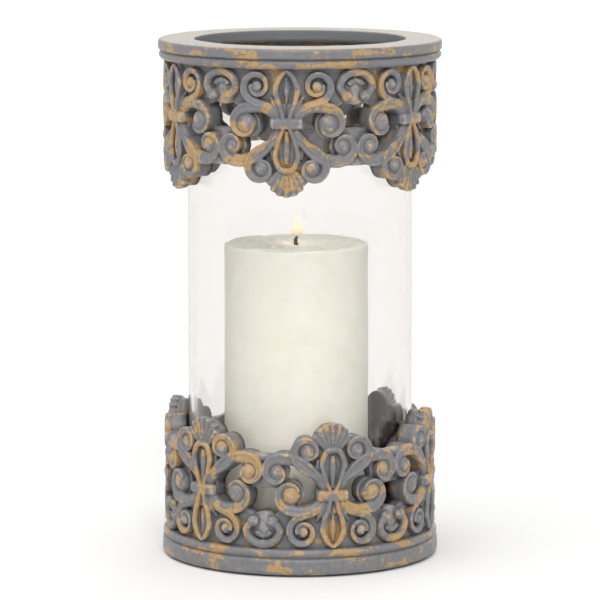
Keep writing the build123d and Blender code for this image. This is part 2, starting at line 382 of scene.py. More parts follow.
    def taper(self, points: Sequence[Place], widths: Sequence[float], out: float, depth: float,
              dip: float = 0.0) -> None:
        """Sweep a smooth tapering ridge through a few points.

        Args:
            points: Places (u, v) that it passes through.
            widths: Its half width at each point.
            out: Distance of its middle from the axis.
            depth: Its half depth where it is widest.
            dip: How far its ends sink.
        """
        count = 9 * (len(points) - 1)
        widest = max(widths)
        stations = []
        for i in range(count + 1):
            at = i / count * (len(points) - 1)
            k = min(int(at), len(points) - 2)
            t = at - k
            ring = [points[max(k - 1, 0)], points[k], points[k + 1], points[min(k + 2, len(points) - 1)]]
            u, v = (0.5 * (2 * ring[1][a] + (ring[2][a] - ring[0][a]) * t
                           + (2 * ring[0][a] - 5 * ring[1][a] + 4 * ring[2][a] - ring[3][a]) * t * t
                           + (3 * ring[1][a] - ring[0][a] - 3 * ring[2][a] + ring[3][a]) * t ** 3)
                    for a in (0, 1))
            half = widths[k] + (widths[k + 1] - widths[k]) * t
            sink = dip * abs(2 * i / count - 1) ** 3
            stations.append(Station(u, v, out - sink, half, depth * (0.4 + 0.6 * half / widest)))
        self.sweep(stations, segments=12)

    def hanging_leaf(self) -> None:
        """Pointed leaf under the tie: raised rim, dished inside and a bud, with a sepal beside it."""
        face = self.relief - 1.2
        self.taper([(0.0, 0.9), (3.2, 3.9), (5.5, 9.4), (4.8, 15.2), (2.8, 20.4), (1.6, 25.6)],
                   [0.95, 1.4, 1.6, 1.5, 1.3, 1.2], face, 1.5)
        self.blob((0.0, 11.5), self.ground + 0.4, (5.2, 1.5, 10.6))
        self.blob((0.0, 10.6), self.ground + 1.7, (2.2, 1.9, 5.8))
        self.taper([(0.0, 4.2), (0.0, 11.0), (0.0, 17.6)], [0.5, 1.0, 0.5], self.ground + 3.0, 0.9)
        self.block((-0.1, self.ground - 1.0, 18.0), (3.4, self.ground + 2.4, 27.0), 0.9)
        self.taper([(1.6, 26.2), (4.2, 21.2), (6.4, 17.6), (9.0, 14.4)], [1.1, 1.7, 1.7, 0.35],
                   self.ground + 1.5, 1.7, 0.4)
        self.taper([(2.6, 25.8), (5.0, 20.6), (8.4, 16.2)], [0.35, 0.5, 0.3], self.ground + 3.0, 0.6)

    def tie(self) -> None:
        """Belt round the stems."""
        self.block((-3.0, self.inside, 25.2), (8.9, self.relief - 1.2, 30.4), 1.3)
        self.block((-3.0, self.inside, 24.9), (8.5, self.relief - 0.1, 30.7), 1.7)

    def tongue(self) -> None:
        """Rounded petal above the tie: raised rim, sunk panel, middle rib, and a fold beside it."""
        face = self.relief - 1.5
        self.block((-3.0, self.inside, 29.0), (3.6, self.ground + 1.0, 40.0))
        self.blob((0.0, 42.5), self.ground - 0.2, (7.4, 2.4, 11.5))
        self.taper([(1.7, 30.6), (4.3, 37.2), (5.9, 44.2), (4.5, 49.4), (1.9, 51.6), (-1.9, 51.6)],
                   [0.9, 1.2, 1.5, 1.55, 1.5, 1.5], face, 1.5)
        self.taper([(0.0, 32.0), (0.0, 41.5), (0.0, 48.4)], [0.8, 2.1, 1.4], self.ground + 2.3, 1.7, 0.3)
        self.taper([(2.9, 31.0), (6.2, 37.2), (7.9, 42.0), (7.6, 46.2)], [0.6, 1.3, 1.6, 1.0],
                   self.ground + 0.7, 1.7, 0.5)

    def shell(self) -> None:
        """Scallop fan that crowns the repeat, with rounded ribs and deep flutes."""
        foot = (0.0, 46.6)
        self.blob((0.0, 54.0), self.ground - 1.6, (11.4, 3.0, 10.6))
        self.drum((0.0, 53.6), 10.6, self.ground - 0.8)
        for step in range(-1, 4):
            lean = math.radians(12.6 * step)
            long = 19.0 - 0.34 * step * step
            points = [(foot[0] + reach * math.sin(lean), foot[1] + reach * math.cos(lean))
                      for reach in (5.4, 0.55 * long, 0.8 * long, long - 0.5, long)]
            self.taper(points, [0.6, 1.4, 2.1, 2.05, 1.0], self.ground + 1.5, 2.7)

    def horseshoe(self) -> None:
        """Half of the open ring between two repeats: its ball, and a crescent and a bowl inside."""
        middle = (self.unit_half_width, 9.6)
        ring, crease = [], []
        for i in range(37):
            share = i / 36
            angle = math.radians(-40 - 200 * share)
            curl = 1.0 - 0.3 * max(0.0, share - 0.7) / 0.3
            u = middle[0] + 9.4 * curl * math.cos(angle)
            v = middle[1] + 7.6 * curl * math.sin(angle)
            ring.append(Station(u, v, self.ground + 2.0, 2.4 - 0.3 * share, 2.6))
            if share < 0.62:
                crease.append(Station(middle[0] + 4.2 * math.cos(angle), middle[1]
                                      + 3.0 * math.sin(angle), self.ground + 1.0, 1.7, 1.8))
        self.sweep(ring)
        self.sweep(crease)
        self.blob(middle, self.ground - 0.5, (7.4, 1.4, 5.8))
        self.blob((middle[0] - 5.4, middle[1] + 4.4), self.relief - 2.9, (3.3, 2.7, 2.9))
        self.drum((middle[0] - 5.4, middle[1] + 4.4), 3.0, self.ground + 1.0)

    def wall(self) -> None:
        """Plain wall behind the lower scrolls, and the webs and band that join the upper ones."""
        end = self.unit_half_width + 4.0
        self.block((-3.0, self.inside, -2.0), (end, self.ground + 0.3, 17.4), 1.0)
        self.drum((self.unit_half_width, 8.6), 10.4, self.ground)
        self.drum((26.0, 11.5), 8.2, self.ground)
        self.drum((12.0, 9.0), 12.4, self.ground)
        self.block((-3.0, self.inside, 17.0), (8.0, self.ground, 34.0))
        self.block((24.4, self.inside, 31.0), (end, self.ground - 1.0, 47.4), 1.0)
        self.taper([(23.5, 45.8), (30.0, 47.4), (36.0, 47.6), (end, 47.6)],
                   [1.6, 2.2, 2.4, 2.4], self.ground + 0.8, 2.6)
        self.drum((11.5, 45.0), 4.6, self.ground - 0.8)
        self.drum((17.5, 45.4), 4.2, self.ground - 0.8)

    def carve(self) -> bpy.types.Object:
        """Join everything that was drawn, soften it, and cut and mirror it into one repeat.

        Returns:
            The repeat, bent round the axis with its foot at z = 0 and its middle at the front.
        """
        for volute in VOLUTES:
            self.scroll(volute)
        self.hanging_leaf()
        self.tie()
        self.tongue()
        self.shell()
        self.horseshoe()
        self.wall()
        piece = put(self.mesh, "ornament")
        remesh = piece.modifiers.new("join", "REMESH")
        remesh.mode = "VOXEL"
        remesh.voxel_size = self.voxel
        remesh.adaptivity = 0.0
        applied(piece)
        mesh = bmesh.new()
        mesh.from_mesh(piece.data)
        for _ in range(3):
            bmesh.ops.smooth_vert(mesh, verts=mesh.verts, factor=0.5, use_axis_x=True,
                                  use_axis_y=True, use_axis_z=True)
        mesh.to_mesh(piece.data)
        mesh.free()
        wobble(piece, 0.10, 4.0, 3.1)
        thin = piece.modifiers.new("thin out", "DECIMATE")
        thin.ratio = min(1.0, self.target_faces / max(1, 2 * len(piece.data.polygons)))
        applied(piece)
        return self.bend(self.cut(piece))

    def cut(self, piece: bpy.types.Object) -> bpy.types.Object:
        """Trim the half repeat to its own room and mirror it.

        Args:
            piece: The joined half.

        Returns:
            The whole repeat, still flat, with closed ends.
        """
        mesh = bmesh.new()
        mesh.from_mesh(piece.data)
        end = self.unit_half_width + self.overlap
        for vertex in mesh.verts:
            vertex.co.y = min(-self.inside, max(-self.relief, vertex.co.y))
            vertex.co.z = min(self.unit_height, vertex.co.z)
        sides = (((0, 0, 0), (-1, 0, 0), False), ((end, 0, 0), (1, 0, 0), True),
                 ((0, 0, 0), (0, 0, -1), True))
        for place, outward, close in sides:
            everything = mesh.verts[:] + mesh.edges[:] + mesh.faces[:]
            found = bmesh.ops.bisect_plane(mesh, geom=everything, dist=1e-5, plane_co=place,
                                           plane_no=outward, clear_outer=True)["geom_cut"]
            rim = [item for item in found if isinstance(item, bmesh.types.BMEdge) and item.is_boundary]
            if close and rim:
                bmesh.ops.triangle_fill(mesh, edges=rim, use_beauty=True, use_dissolve=False)
                for edge in rim:
                    edge.smooth = False
        bmesh.ops.mirror(mesh, geom=mesh.verts[:] + mesh.edges[:] + mesh.faces[:],
                         matrix=Matrix.Identity(4), merge_dist=1e-4, axis="X")
        bmesh.ops.recalc_face_normals(mesh, faces=mesh.faces)
        mesh.to_mesh(piece.data)
        mesh.free()
        return piece

    def bend(self, piece: bpy.types.Object) -> bpy.types.Object:
        """Wrap the flat repeat round the axis and turn millimetres to metres.

        Args:
            piece: The flat repeat.

        Returns:
            The same object, bent.
        """
        flat = np.empty(len(piece.data.vertices) * 3)
        piece.data.vertices.foreach_get("co", flat)
        u, back, v = flat.reshape(-1, 3).T
        turn = u / self.unit_half_width * self.half_wedge
        bent = np.stack([-back * np.sin(turn), back * np.cos(turn), v * self.height / self.unit_height])
        piece.data.vertices.foreach_set("co", (bent.T * MM).ravel())
        piece.data.update()
        return piece


def mark_worn(piece: bpy.types.Object, reach: int = 14) -> None:
    """Store how far each point stands out of its surroundings, for wear, dirt and painted shade.

    Args:
        piece: The mesh to measure. It gets a point attribute "worn", 0.5 on flat ground.
        reach: Rounds of averaging, which set how wide the surroundings are.
    """
    data = piece.data
    count = len(data.vertices)
    places = np.empty(count * 3)
    data.vertices.foreach_get("co", places)
    places = places.reshape(-1, 3)
    normals = np.empty(count * 3)
    data.vertices.foreach_get("normal", normals)
    pairs = np.empty(len(data.edges) * 2, dtype=int)
    data.edges.foreach_get("vertices", pairs)
    first, second = pairs.reshape(-1, 2).T
    links = np.bincount(np.concatenate([first, second]), minlength=count).clip(1)
    even = places.copy()
    for _ in range(reach):
        total = np.zeros_like(even)
        for axis in range(3):
            total[:, axis] = (np.bincount(first, even[second, axis], count)
                              + np.bincount(second, even[first, axis], count))
        even = 0.4 * even + 0.6 * total / links[:, None]
    stands = np.einsum("ij,ij->i", places - even, normals.reshape(-1, 3))
    worn = np.clip(0.5 + stands / (0.55 * MM), 0.0, 1.0)
    data.attributes.new("worn", "FLOAT", "POINT").data.foreach_set("value", worn.astype(np.float32))


# ---------------------------------------------------------------- materials

def linear(hex_colour: str) -> tuple[float, float, float, float]:
    """Turn an sRGB hex colour to the linear colour that shaders take.

    Args:
        hex_colour: Six hex digits after a "#".

    Returns:
        Red, green, blue and an alpha of 1.
    """
    shares = [int(hex_colour[i:i + 2], 16) / 255 for i in (1, 3, 5)]
    return tuple(c / 12.92 if c <= 0.04045 else ((c + 0.055) / 1.055) ** 2.4 for c in shares) + (1.0,)


def add(tree: bpy.types.NodeTree, kind: str, settings: dict | None = None,
        links: dict | None = None, **options) -> bpy.types.Node:
    """Add a node with its settings and links.

    Args:
        tree: The material's nodes.
        kind: The node's type name.
        settings: Values of its input sockets by name or number.
        links: For an input socket, the node and output socket that feed it.
        options: The node's own properties.

    Returns:
        The new node.
    """
    node = tree.nodes.new(kind)
    for name, value in options.items():
        setattr(node, name, value)
    for socket, value in (settings or {}).items():
        node.inputs[socket].default_value = value
    for socket, (source, output) in (links or {}).items():
        tree.links.new(source.outputs[output], node.inputs[socket])
    return node


def stops(ramp: bpy.types.Node, *marks: tuple[float, str]) -> bpy.types.Node:
    """Set the stops of a colour ramp.

    Args:
        ramp: The colour ramp node.
        marks: Place and sRGB hex colour of each stop.

    Returns:
        The same node.
    """
    elements = ramp.color_ramp.elements
    while len(elements) < len(marks):
        elements.new(0.5)
    for element, (place, colour) in zip(elements, marks):
        element.position = place
        element.color = linear(colour)
    return ramp


def new_material(name: str) -> tuple[bpy.types.Material, bpy.types.NodeTree, bpy.types.Node]:
    """Start an empty material.

    Args:
        name: What the material is.

    Returns:
        The material, its node tree and its output node.
    """
    material = bpy.data.materials.new(name)
    material.use_nodes = True
    tree = material.node_tree
    tree.nodes.clear()
    return material, tree, add(tree, "ShaderNodeOutputMaterial")


class Wear(Enum):
    """How much of the grey paint is rubbed back to the ochre coat under it."""

    CARVED = "carved"
    BANDED = "banded"


@dataclass(frozen=True)
class PaintedPolystone:
    """Cast polystone, sprayed ochre, then brushed grey and rubbed back by hand.

    The eye sees a satin grey with crisp-edged ochre patches where the top coat is gone, brown dirt
    and painted shade darkening the hollows, and pale rubbed edges.
    """

    wear: Wear
    grey: str = "#6F7074"
    grey_light: str = "#7D7E81"
    ochre: str = "#A38358"
    ochre_light: str = "#B5986E"
    hollow_shade_and_dirt: str = "#57504A"
    rubbed: str = "#BDB9B2"
    filler: str = "#B3ABA0"
    # painted shade: on the carved crowns the inner face is painted near black; on the turned rings the
    # mouth's inner wall gets a plain grey coat
    inside_shade_and_coat: str = "#2C2927"
    patch_mm: tuple[float, float, float] = (12.0, 12.0, 12.0)
    chip_mm: float = 2.6
    grit_mm: float = 0.45
    wear_share: float = 0.07
    proud_share: float = 0.085
    bare_from: float = 0.742
    thin_margin: float = 0.13
    inside_radius: float = 0.0
    inside_fade: float = 0.0036
    inside_full: float = 0.0004
    top_height: float = 1.0

    def build(self) -> bpy.types.Material:
        """Make the material.

        Returns:
            The finished material.
        """
        material, tree, output = new_material(f"painted polystone {self.wear.value}")
        place = add(tree, "ShaderNodeTexCoord")
        worn = add(tree, "ShaderNodeAttribute", attribute_name="worn")
        stretch = add(tree, "ShaderNodeMapping", {"Scale": [1000 / size for size in self.patch_mm]},
                      {"Vector": (place, "Object")})
        patch = add(tree, "ShaderNodeTexNoise",
                    {"Scale": 1.0, "Detail": 4.0, "Roughness": 0.55, "Distortion": 0.4},
                    {"Vector": (stretch, 0)})
        chip = add(tree, "ShaderNodeTexNoise",
                   {"Scale": 1000 / self.chip_mm, "Detail": 5.0, "Roughness": 0.65},
                   {"Vector": (place, "Object")})
        grit = add(tree, "ShaderNodeTexNoise", {"Scale": 1000 / self.grit_mm, "Detail": 2.0},
                   {"Vector": (place, "Object")})
        both = add(tree, "ShaderNodeMath", {1: 0.22}, {0: (chip, "Fac"), 2: (patch, "Fac")},
                   operation="MULTIPLY_ADD")
        raised = add(tree, "ShaderNodeMath", {1: self.wear_share}, {0: (worn, "Fac"), 2: (both, 0)},
                     operation="MULTIPLY_ADD")
        flat = add(tree, "ShaderNodeVectorMath", {1: (1.0, 1.0, 0.0)}, {0: (place, "Object")},
                   operation="MULTIPLY")
        reach = add(tree, "ShaderNodeVectorMath", links={0: (flat, 0)}, operation="LENGTH")
        proud = add(tree, "ShaderNodeMapRange",
                    {"From Min": 0.0675, "From Max": 0.0722, "To Max": self.proud_share},
                    {"Value": (reach, "Value")})
        leaning = add(tree, "ShaderNodeMath", links={0: (raised, 0), 1: (proud, 0)}, operation="ADD")
        crisp = add(tree, "ShaderNodeMapRange",
                    {"From Min": self.bare_from, "From Max": self.bare_from + 0.02},
                    {"Value": (leaning, 0)})
        thinned = add(tree, "ShaderNodeMapRange",
                      {"From Min": self.bare_from - self.thin_margin, "From Max": self.bare_from,
                       "To Max": 0.15}, {"Value": (leaning, 0)})
        bare = add(tree, "ShaderNodeMath", links={0: (crisp, 0), 1: (thinned, 0)}, operation="MAXIMUM")
        top_coat = stops(add(tree, "ShaderNodeValToRGB", links={"Fac": (chip, "Fac")}),
                         (0.35, self.grey), (0.68, self.grey_light))
        under_coat = stops(add(tree, "ShaderNodeValToRGB", links={"Fac": (chip, "Fac")}),
                           (0.36, self.ochre), (0.64, self.ochre_light))
        colour = add(tree, "ShaderNodeMix", links={0: (bare, 0), COLOUR_A: (top_coat, 0),
                                                   COLOUR_B: (under_coat, 0)}, data_type="RGBA")
        # painted shade: the hollows are darkened towards a brown, both for dirt and for the shade that
        # falls in them
        hollow_shade_mask = add(tree, "ShaderNodeMapRange", {"From Min": 0.46, "From Max": 0.02, "To Max": 0.85},
                     {"Value": (worn, "Fac")})
        shaded_and_soiled = add(tree, "ShaderNodeMix", {COLOUR_B: linear(self.hollow_shade_and_dirt)},
                     {0: (hollow_shade_mask, 0), COLOUR_A: (colour, MIXED)}, data_type="RGBA")
        scuff = add(tree, "ShaderNodeMath", {1: 0.35}, {0: (chip, "Fac"), 2: (worn, "Fac")},
                    operation="MULTIPLY_ADD")
        pale = add(tree, "ShaderNodeMapRange", {"From Min": 1.08, "From Max": 1.22, "To Max": 0.5},
                   {"Value": (scuff, 0)})
        rubbed = add(tree, "ShaderNodeMix", {COLOUR_B: linear(self.rubbed)},
                     {0: (pale, 0), COLOUR_A: (shaded_and_soiled, MIXED)}, data_type="RGBA")
        # painted shade on the crowns' inner face, and a plain grey coat inside the rings' mouth
        cave = add(tree, "ShaderNodeMapRange",
                   {"From Min": self.inside_radius + self.inside_fade,
                    "From Max": self.inside_radius + self.inside_full}, {"Value": (reach, "Value")})
        inside_shaded_and_coated = add(tree, "ShaderNodeMix", {COLOUR_B: linear(self.inside_shade_and_coat)},
                    {0: (cave, 0), COLOUR_A: (rubbed, MIXED)}, data_type="RGBA")
        up = add(tree, "ShaderNodeSeparateXYZ", links={0: (place, "Object")})
        sanded = add(tree, "ShaderNodeMapRange",
                     {"From Min": self.top_height - 0.0006, "From Max": self.top_height - 0.0001},
                     {"Value": (up, "Z")})
        left_on = add(tree, "ShaderNodeMapRange",
                      {"From Min": 0.62, "From Max": 0.56, "To Min": 0.25, "To Max": 0.95},
                      {"Value": (chip, "Fac")})
        cleared = add(tree, "ShaderNodeMath", links={0: (sanded, 0), 1: (left_on, 0)},
                      operation="MULTIPLY")
        coat = add(tree, "ShaderNodeMix", {COLOUR_B: linear(self.filler)},
                   {0: (cleared, 0), COLOUR_A: (inside_shaded_and_coated, MIXED)}, data_type="RGBA")
        gloss = add(tree, "ShaderNodeMapRange", {"To Min": 0.32, "To Max": 0.52},
                    {"Value": (chip, "Fac")})
        height = add(tree, "ShaderNodeMath", {1: -0.6}, {0: (bare, 0), 2: (grit, "Fac")},
                     operation="MULTIPLY_ADD")
        relief = add(tree, "ShaderNodeBump", {"Strength": 0.35, "Distance": 0.00012},
                     {"Height": (height, 0)})
        paint = add(tree, "ShaderNodeBsdfPrincipled", {"IOR": 1.5},
                    {"Base Color": (coat, MIXED), "Roughness": (gloss, 0), "Normal": (relief, "Normal")})
        tree.links.new(paint.outputs[0], output.inputs["Surface"])
        return material


@dataclass(frozen=True)
class ClearGlass:
    """Drawn soda-lime tube with fire-polished rims.

    The eye sees clear glass that greys where the wall is seen edge on, with soft streaks of drawing.
    """

    absorbs: str = "#E3DDD7"
    density: float = 95.0
    ior: float = 1.5
    streak_mm: float = 9.0

    def build(self) -> bpy.types.Material:
        """Make the material. Lamp light passes straight through, as it nearly does in a thin tube.

        Returns:
            The finished material.
        """
        material, tree, output = new_material("drawn soda-lime glass")
        place = add(tree, "ShaderNodeTexCoord")
        scale = 1000 / self.streak_mm
        drawn = add(tree, "ShaderNodeMapping", {"Scale": (scale, scale, scale / 40)},
                    {"Vector": (place, "Object")})
        streaks = add(tree, "ShaderNodeTexNoise", {"Scale": 1.0, "Detail": 1.0}, {"Vector": (drawn, 0)})
        relief = add(tree, "ShaderNodeBump", {"Strength": 0.03, "Distance": 0.0005},
                     {"Height": (streaks, "Fac")})
        glass = add(tree, "ShaderNodeBsdfPrincipled",
                    {"Base Color": linear("#FFFFFF"), "Roughness": 0.0, "IOR": self.ior,
                     "Transmission Weight": 1.0}, {"Normal": (relief, "Normal")})
        clear = add(tree, "ShaderNodeBsdfTransparent")
        rays = add(tree, "ShaderNodeLightPath")
        both = add(tree, "ShaderNodeMixShader", links={0: (rays, "Is Shadow Ray"), 1: (glass, 0),
                                                       2: (clear, 0)})
        body = add(tree, "ShaderNodeVolumeAbsorption",
                   {"Color": linear(self.absorbs), "Density": self.density})
        tree.links.new(both.outputs[0], output.inputs["Surface"])
        tree.links.new(body.outputs[0], output.inputs["Volume"])
        return material


@dataclass(frozen=True)
class ParaffinWax:
    """Moulded paraffin and palm wax: ivory, satin, with light that goes in and comes out again."""

    ivory: str = "#F0EFE5"
    shade: str = "#E9E8DB"
    mottle_mm: float = 11.0

    def build(self) -> bpy.types.Material:
        """Make the material.

        Returns:
            The finished material.
        """
        material, tree, output = new_material("moulded ivory wax")
        place = add(tree, "ShaderNodeTexCoord")
        mottle = add(tree, "ShaderNodeTexNoise",
                     {"Scale": 1000 / self.mottle_mm, "Detail": 5.0, "Roughness": 0.6},
                     {"Vector": (place, "Object")})
        colour = stops(add(tree, "ShaderNodeValToRGB", links={"Fac": (mottle, "Fac")}),
                       (0.3, self.shade), (0.7, self.ivory))
        bloom = add(tree, "ShaderNodeTexNoise", {"Scale": 900.0, "Detail": 3.0},
                    {"Vector": (place, "Object")})
        relief = add(tree, "ShaderNodeBump", {"Strength": 0.12, "Distance": 0.0002},
                     {"Height": (bloom, "Fac")})
        gloss = add(tree, "ShaderNodeMapRange", {"To Min": 0.38, "To Max": 0.55},
                    {"Value": (mottle, "Fac")})
        wax = add(tree, "ShaderNodeBsdfPrincipled",
                  {"IOR": 1.44, "Subsurface Weight": 0.4, "Subsurface Radius": (1.0, 0.85, 0.6),
                   "Subsurface Scale": 0.004},
                  {"Base Color": (colour, 0), "Roughness": (gloss, 0), "Normal": (relief, "Normal")})
        tree.links.new(wax.outputs[0], output.inputs["Surface"])
        return material


@dataclass(frozen=True)
class BurntCotton:
    """Braided cotton wick: waxed and pale inside the candle, charred to soot above it."""

    soot: str = "#15110E"
    cotton: str = "#D9D2BC"
    burnt_above: float = 0.0

    def build(self) -> bpy.types.Material:
        """Make the material.

        Returns:
            The finished material.
        """
        material, tree, output = new_material("braided cotton wick")
        place = add(tree, "ShaderNodeTexCoord")
        height = add(tree, "ShaderNodeSeparateXYZ", links={0: (place, "Object")})
        burnt = add(tree, "ShaderNodeMapRange",
                    {"From Min": self.burnt_above - 0.001, "From Max": self.burnt_above + 0.001},
                    {"Value": (height, "Z")})
        colour = stops(add(tree, "ShaderNodeValToRGB", links={"Fac": (burnt, 0)}),
                       (0.0, self.cotton), (1.0, self.soot))
        braid = add(tree, "ShaderNodeTexWave", {"Scale": 700.0, "Distortion": 1.5, "Detail": 1.0},
                    {"Vector": (place, "Object")}, bands_direction="DIAGONAL")
        relief = add(tree, "ShaderNodeBump", {"Strength": 0.6, "Distance": 0.0002},
                     {"Height": (braid, "Fac")})
        cotton = add(tree, "ShaderNodeBsdfPrincipled", {"Roughness": 0.9},
                     {"Base Color": (colour, 0), "Normal": (relief, "Normal")})
        tree.links.new(cotton.outputs[0], output.inputs["Surface"])
        return material


@dataclass(frozen=True)
class CandleFlame:
    """Burning wax vapour: a dim foot, a bright pale-yellow body and a thin clear skin.

    strength is how bright it is to look at, lights_up how much light it casts on the wax.
    """

    low: float
    high: float
    strength: float = 1.06
    lights_up: float = 7.0

    def build(self) -> bpy.types.Material:
        """Make the material.

        Returns:
            The finished material.
        """
        material, tree, output = new_material("candle flame")
        place = add(tree, "ShaderNodeTexCoord")
        height = add(tree, "ShaderNodeSeparateXYZ", links={0: (place, "Object")})
        rise = add(tree, "ShaderNodeMapRange", {"From Min": self.low, "From Max": self.high},
                   {"Value": (height, "Z")})
        colour = stops(add(tree, "ShaderNodeValToRGB", links={"Fac": (rise, 0)}),
                       (0.0, "#B9B6B4"), (0.14, "#F5DDB8"), (0.32, "#FFF8D6"), (0.75, "#FFFDE9"),
                       (1.0, "#FBF2D8"))
        rays = add(tree, "ShaderNodeLightPath")
        through = add(tree, "ShaderNodeMath", links={0: (rays, "Is Camera Ray"),
                                                     1: (rays, "Is Transmission Ray")}, operation="ADD")
        seen = add(tree, "ShaderNodeMath", links={0: (rays, "Is Glossy Ray"), 1: (through, 0)},
                   operation="ADD")
        strength = add(tree, "ShaderNodeMapRange", {"To Min": self.lights_up, "To Max": self.strength},
                       {"Value": (seen, 0)})
        glow = add(tree, "ShaderNodeEmission", links={"Color": (colour, 0), "Strength": (strength, 0)})
        clear = add(tree, "ShaderNodeBsdfTransparent")
        skin = add(tree, "ShaderNodeLayerWeight", {"Blend": 0.35})
        thin = add(tree, "ShaderNodeMapRange", {"From Min": 0.35, "From Max": 0.95},
                   {"Value": (skin, "Facing")})
        both = add(tree, "ShaderNodeMixShader", links={0: (thin, 0), 1: (glow, 0), 2: (clear, 0)})
        tree.links.new(both.outputs[0], output.inputs["Surface"])
        return material


@dataclass(frozen=True)
class FeltPadding:
    """Matted wool felt, die cut: dull and fibrous, with painted shade darkening its pits."""

    light: str = "#4A4B4C"
    pit_shade: str = "#232425"
    fibre_mm: float = 0.5

    def build(self) -> bpy.types.Material:
        """Make the material.

        Returns:
            The finished material.
        """
        material, tree, output = new_material("wool felt")
        place = add(tree, "ShaderNodeTexCoord")
        fibre = add(tree, "ShaderNodeTexNoise",
                    {"Scale": 1000 / self.fibre_mm, "Detail": 6.0, "Roughness": 0.75, "Distortion": 1.5},
                    {"Vector": (place, "Object")})
        # painted shade: the colour follows the fibre bump and is darker where the bump sinks
        colour = stops(add(tree, "ShaderNodeValToRGB", links={"Fac": (fibre, "Fac")}),
                       (0.35, self.pit_shade), (0.65, self.light))
        relief = add(tree, "ShaderNodeBump", {"Strength": 0.8, "Distance": 0.0003},
                     {"Height": (fibre, "Fac")})
        felt = add(tree, "ShaderNodeBsdfPrincipled", {"Roughness": 0.95, "Sheen Weight": 0.4},
                   {"Base Color": (colour, 0), "Normal": (relief, "Normal")})
        tree.links.new(felt.outputs[0], output.inputs["Surface"])
        return material


@dataclass(frozen=True)
class Tinplate:
    """Pressed tinplate: soft mirror with fine rolling lines and a dull film of wax."""

    tin: str = "#C9CACB"
    dull: str = "#9FA0A0"

    def build(self) -> bpy.types.Material:
        """Make the material.

        Returns:
            The finished material.
        """
        material, tree, output = new_material("pressed tinplate")
        place = add(tree, "ShaderNodeTexCoord")
        stretch = add(tree, "ShaderNodeMapping", {"Scale": (60.0, 2500.0, 2500.0)},
                      {"Vector": (place, "Object")})
        rolling = add(tree, "ShaderNodeTexNoise", {"Scale": 1.0, "Detail": 3.0},
                      {"Vector": (stretch, 0)})
        colour = stops(add(tree, "ShaderNodeValToRGB", links={"Fac": (rolling, "Fac")}),
                       (0.3, self.dull), (0.7, self.tin))
        gloss = add(tree, "ShaderNodeMapRange", {"To Min": 0.22, "To Max": 0.45},
                    {"Value": (rolling, "Fac")})
        tin = add(tree, "ShaderNodeBsdfPrincipled", {"Metallic": 1.0},
                  {"Base Color": (colour, 0), "Roughness": (gloss, 0)})
        tree.links.new(tin.outputs[0], output.inputs["Surface"])
        return material


# ---------------------------------------------------------------- the holder's pieces

@dataclass(frozen=True)
class Span:
    """Radius, lowest and highest point of a round CAD node, in millimetres.

    aside is how far its middle stands to the right of the holder's axis, in metres.
    """

    radius: float
    low: float
    high: float
    aside: float

    @classmethod
    def of(cls, node: str) -> "Span":
        """Read a node's span from the frame.

        Args:
            node: Name of the CAD node.

        Returns:
            Its span.
        """
        low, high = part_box(node)
        return cls((high.x - low.x) / 2 / MM, low.z / MM, high.z / MM, (high.x + low.x) / 2)


def dress(piece: bpy.types.Object, material: bpy.types.Material, body: str,
          stands_for: Iterable[str] = ()) -> None:
    """Give a piece its material and its place in the frame.

    Args:
        piece: The finished piece.
        material: Its material.
        body: The CAD body that it rides on.
        stands_for: CAD nodes that it replaces.
    """
    piece.data.materials.clear()
    piece.data.materials.append(material)
    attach(piece, body)
    if stands_for:
        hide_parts(*stands_for)
    log.info("%s: %d faces, on %s", piece.name, len(piece.data.polygons), body)


def turn_of_node(node: str) -> float:
    """Angle of a CAD node round the axis.

    Args:
        node: Name of the CAD node.

    Returns:
        Its angle from the front in radians, counter-clockwise from above.
    """
    data = frame["nodes"][node].data
    places = np.empty(len(data.vertices) * 3)
    data.vertices.foreach_get("co", places)
    places = places.reshape(-1, 3)
    angles = np.unwrap(np.arctan2(places[:, 0], -places[:, 1]) % math.tau)
    return float((angles.min() + angles.max()) / 2)


@dataclass
class Crown:
    """A pierced crown: one repeat, set round the axis in place of the CAD repeats."""

    template: bpy.types.Object
    nodes: Sequence[str]
    body: str
    foot: float
    hanging: bool

    def build(self, material: bpy.types.Material, first_turn: float) -> None:
        """Copy the repeat to every place and dress it.

        Args:
            material: The crown's material.
            first_turn: Angle of the first repeat from the front, in radians.
        """
        flip = Matrix.Rotation(math.pi, 4, "Y") if self.hanging else Matrix.Identity(4)
        for i, node in enumerate(self.nodes):
            data = self.template.data.copy()
            turn = first_turn + math.tau * i / len(self.nodes)
            place = Matrix.Rotation(turn, 4, "Z") @ Matrix.Translation((0, 0, self.foot * MM)) @ flip
            data.transform(place)
            piece = bpy.data.objects.new(node.replace("fleur", "ornament"), data)
            bpy.context.scene.collection.objects.link(piece)
            dress(piece, material, self.body, [node])


